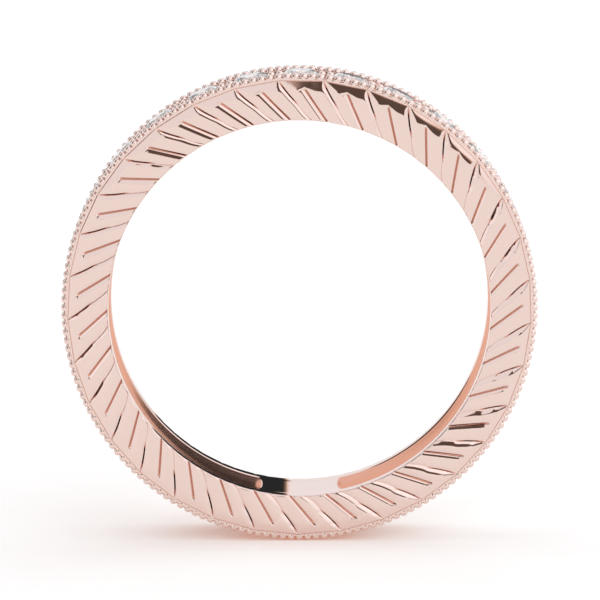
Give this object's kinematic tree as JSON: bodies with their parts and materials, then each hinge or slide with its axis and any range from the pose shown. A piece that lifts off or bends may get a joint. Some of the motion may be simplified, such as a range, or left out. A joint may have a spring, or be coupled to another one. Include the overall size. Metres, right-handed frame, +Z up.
{
  "type": "wedding band",
  "caption": "Eternity ring for a finger: a smooth round hole through a flat-sided engraved band, with small round brilliants set in a channel between two beaded edges",
  "frame": {"origin": "centre of the finger hole, halfway across the band", "axes": "+Y runs through the finger hole from the front side face to the back one, +Z is up with the ring standing on its edge and the solid sizing bar at the bottom, +X is to the right seen from the front"},
  "size_m": [0.0216, 0.0032, 0.0216],
  "materials": {
    "rose_gold": "high polish, 14 carat rose gold",
    "diamond": "clear, faceted and polished"
  },
  "bodies": {
    "root": {"band": "rose_gold", "stone_01": "diamond", "stone_02": "diamond", "stone_03": "diamond", "stone_04": "diamond", "stone_05": "diamond", "stone_06": "diamond", "stone_07": "diamond", "stone_08": "diamond", "stone_09": "diamond", "stone_10": "diamond", "stone_11": "diamond", "stone_12": "diamond", "stone_13": "diamond", "stone_14": "diamond", "stone_15": "diamond", "stone_16": "diamond", "stone_17": "diamond", "stone_18": "diamond", "stone_19": "diamond", "stone_20": "diamond", "stone_21": "diamond", "stone_22": "diamond", "stone_23": "diamond", "stone_24": "diamond", "stone_25": "diamond", "stone_26": "diamond", "stone_27": "diamond", "stone_28": "diamond", "stone_29": "diamond"}
  },
  "joints": []
}
